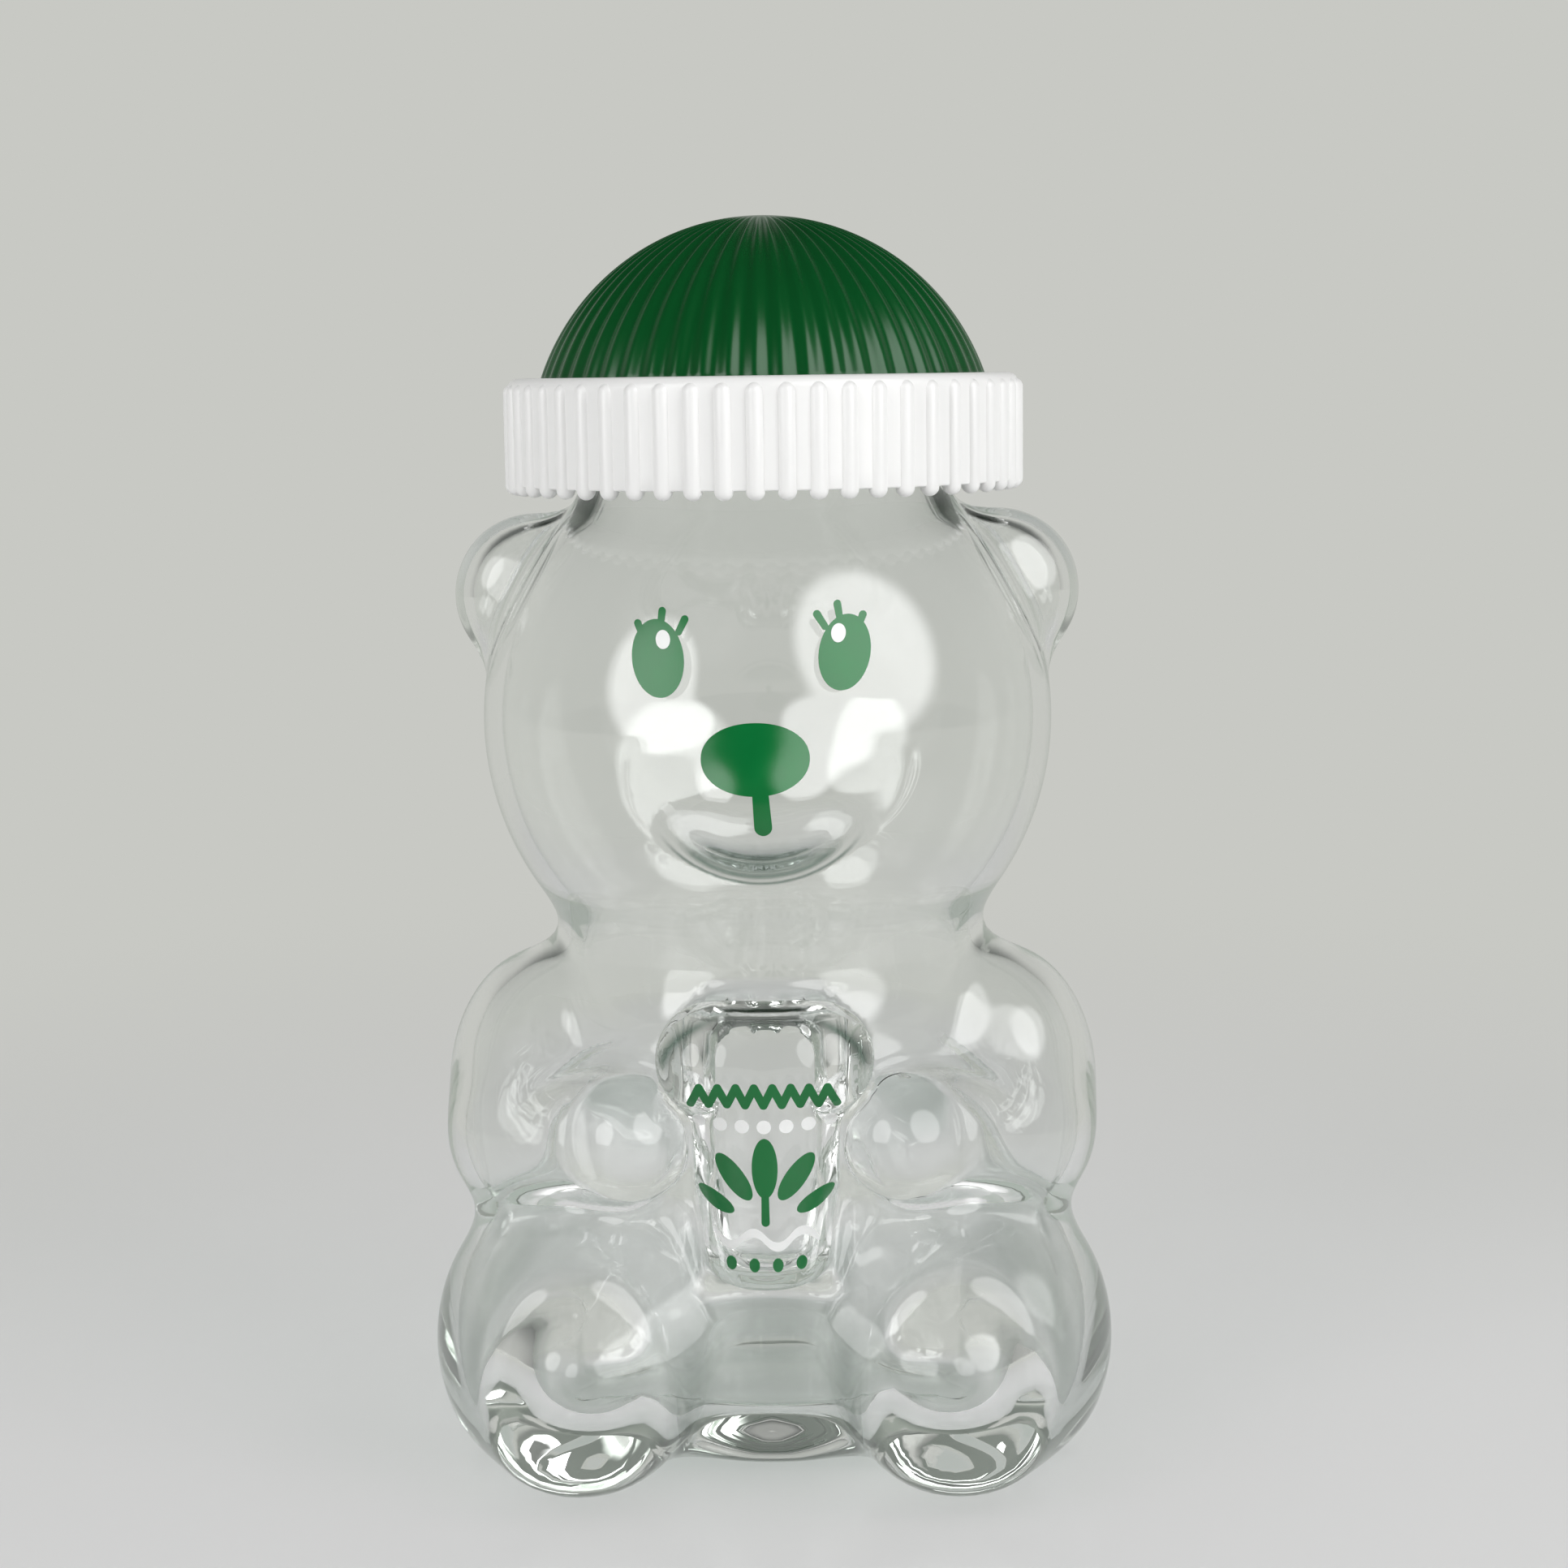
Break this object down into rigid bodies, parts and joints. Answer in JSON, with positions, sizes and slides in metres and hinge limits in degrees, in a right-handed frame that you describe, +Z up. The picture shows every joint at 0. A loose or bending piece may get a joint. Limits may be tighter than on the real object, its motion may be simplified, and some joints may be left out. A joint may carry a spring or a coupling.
{
  "type": "bear-shaped drinking glass",
  "caption": "Hollow clear glass in the shape of a sitting bear that holds a beaker, with a screw neck, a soft seal and a ribbed domed lid with a beaded brim.",
  "frame": {"origin": "centre of the standing face, on the neck's axis", "axes": "+Z up along the neck's axis, -Y towards the front where the bear looks, +X to the bear's left"},
  "size_m": [0.0964, 0.0876, 0.1737],
  "materials": {
    "clear_glass": "clear, fire polished",
    "green_plastic": "deep green, glossy, fine ribs",
    "white_plastic": "white, satin gloss",
    "milky_silicone": "milky, matt"
  },
  "bodies": {
    "glass": {"glass_body": "clear_glass"},
    "seal": {"seal_gasket": "milky_silicone"},
    "lid": {"dome_cap": "green_plastic", "brim_ring": "white_plastic"}
  },
  "joints": [
    {"name": "lid_rise", "type": "slide", "parent": "glass", "child": "seal", "axis": [0, 0, 1], "range_m": [0, 0.012]},
    {"name": "lid_turn", "type": "hinge", "parent": "seal", "child": "lid", "pos_m": [0, 0, 0.147], "axis": [0, 0, 1], "range_deg": [0, 720]}
  ],
  "couplings": [
    {"joint": "lid_rise", "follows": "lid_turn", "m_per_rad": 0.00095492}
  ]
}
